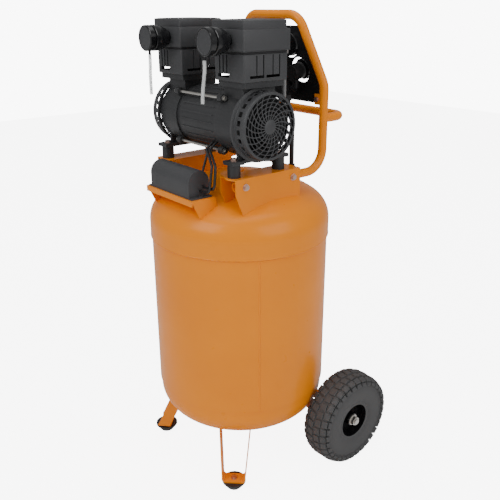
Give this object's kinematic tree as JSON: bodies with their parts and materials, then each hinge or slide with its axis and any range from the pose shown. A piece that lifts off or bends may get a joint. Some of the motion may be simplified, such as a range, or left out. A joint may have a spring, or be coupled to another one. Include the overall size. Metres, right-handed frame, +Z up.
{
  "type": "air compressor",
  "caption": "Oil-free twin-cylinder air compressor on a vertical tank with two wheels, two feet and a tube frame.",
  "frame": {"origin": "on the floor, midway between left and right and between the rear of the tyres and the front of the tank", "axes": "+Z up along the tank, +X to the right wheel seen from the handle's far side, +Y from the intake silencers towards the handle"},
  "size_m": [0.606, 0.5222, 1.1848],
  "materials": {
    "tank_paint": "gloss orange-yellow enamel",
    "zinc": "zinc-plated",
    "tyre_rubber": "matte black rubber",
    "black_rubber": "satin black rubber",
    "rim_gloss": "gloss black enamel",
    "panel_black": "satin black powder coat",
    "dark_casting": "satin dark grey paint over cast aluminium",
    "dark_plastic": "matte dark grey moulded plastic",
    "gloss_black": "gloss black",
    "steel": "machined steel",
    "light_alloy": "plain aluminium",
    "clear_tube": "clear flexible tube",
    "brass": "plain brass",
    "red_plastic": "gloss red"
  },
  "bodies": {
    "stand": {"tank_shell": "tank_paint", "top_head": "tank_paint", "bottom_head": "tank_paint", "leg_right": "tank_paint", "leg_left": "tank_paint", "rubber_feet": "black_rubber", "axle_bracket_right": "tank_paint", "axle_bracket_left": "tank_paint", "axle_bolts": "zinc", "saddle_right": "tank_paint", "saddle_left": "tank_paint", "frame_bolts": "zinc", "handle_frame": "tank_paint", "rear_handle": "tank_paint", "control_panel": "panel_black", "isolators": "black_rubber", "stator_housing": "dark_casting", "motor_bearings": "steel", "crankcase_right": "dark_casting", "crankcase_left": "dark_casting", "tie_rods": "zinc", "cylinder_right": "light_alloy", "cylinder_left": "light_alloy", "cylinder_cover_right": "dark_plastic", "cylinder_cover_left": "dark_plastic", "head_cover_right": "dark_plastic", "head_cover_left": "dark_plastic", "fan_guard_right": "dark_plastic", "fan_guard_left": "dark_plastic", "silencer_right": "gloss_black", "silencer_left": "gloss_black", "breather_tube_right": "clear_tube", "breather_tube_left": "clear_tube", "box_bracket": "tank_paint", "capacitor_box": "dark_plastic", "motor_leads": "black_rubber", "discharge_tube": "light_alloy", "supply_hose": "black_rubber", "check_valve": "brass", "manifold": "light_alloy", "pressure_switch": "panel_black", "gauges": "gloss_black", "drain_valve": "brass"},
    "wheel_right": {"tyre_right": "tyre_rubber", "rim_right": "rim_gloss"},
    "wheel_left": {"tyre_left": "tyre_rubber", "rim_left": "rim_gloss"},
    "rotor": {"rotor_shaft": "steel", "fan_right": "dark_plastic", "fan_left": "dark_plastic"},
    "piston_right": {"piston_right": "light_alloy"},
    "piston_left": {"piston_left": "light_alloy"},
    "needle_right": {"gauge_needle_right": "red_plastic"},
    "needle_left": {"gauge_needle_left": "red_plastic"},
    "knob": {"regulator_knob": "gloss_black"},
    "lever": {"switch_lever": "red_plastic"},
    "sleeve_right": {"coupler_sleeve_right": "brass"},
    "sleeve_left": {"coupler_sleeve_left": "brass"},
    "relief_ring": {"safety_ring": "steel"},
    "drain_handle": {"drain_lever": "red_plastic"}
  },
  "joints": [
    {"name": "wheel_right_spin", "type": "hinge", "parent": "stand", "child": "wheel_right", "pos_m": [0.26, 0.13215, 0.129], "axis": [1, 0, 0], "continuous": true},
    {"name": "wheel_left_spin", "type": "hinge", "parent": "stand", "child": "wheel_left", "pos_m": [-0.26, 0.13215, 0.129], "axis": [1, 0, 0], "continuous": true},
    {"name": "crankshaft", "type": "hinge", "parent": "stand", "child": "rotor", "pos_m": [0, -0.08485, 0.94164], "axis": [1, 0, 0], "continuous": true},
    {"name": "piston_right_stroke", "type": "slide", "parent": "stand", "child": "piston_right", "axis": [0, 0, 1], "range_m": [-0.0065, 0.0065]},
    {"name": "piston_left_stroke", "type": "slide", "parent": "stand", "child": "piston_left", "axis": [0, 0, 1], "range_m": [-0.0065, 0.0065]},
    {"name": "needle_right_sweep", "type": "hinge", "parent": "stand", "child": "needle_right", "pos_m": [0.044, 0.09655, 1.10564], "axis": [0, 0.9753, 0.2208], "range_deg": [-270, 0]},
    {"name": "needle_left_sweep", "type": "hinge", "parent": "stand", "child": "needle_left", "pos_m": [-0.044, 0.09655, 1.10564], "axis": [0, 0.9753, 0.2208], "range_deg": [-270, 0]},
    {"name": "regulator_turn", "type": "hinge", "parent": "stand", "child": "knob", "pos_m": [0.074, 0.11988, 1.04785], "axis": [0, 0.9753, 0.2208], "range_deg": [-720, 720]},
    {"name": "switch_flip", "type": "hinge", "parent": "stand", "child": "lever", "pos_m": [-0.074, 0.09843, 1.04299], "axis": [-1, 0, 0], "range_deg": [-22, 22]},
    {"name": "sleeve_right_pull", "type": "slide", "parent": "stand", "child": "sleeve_right", "axis": [0, -1, 0], "range_m": [0, 0.0035], "stiffness_N_per_m": 1500, "springref_m": -0.002},
    {"name": "sleeve_left_pull", "type": "slide", "parent": "stand", "child": "sleeve_left", "axis": [0, -1, 0], "range_m": [0, 0.0035], "stiffness_N_per_m": 1500, "springref_m": -0.002},
    {"name": "relief_pull", "type": "slide", "parent": "stand", "child": "relief_ring", "axis": [0, 0, 1], "range_m": [0, 0.0025], "stiffness_N_per_m": 1500, "springref_m": -0.002},
    {"name": "drain_turn", "type": "hinge", "parent": "stand", "child": "drain_handle", "pos_m": [0, -0.04585, 0.068], "axis": [0, 1, 0], "range_deg": [0, 90]}
  ]
}
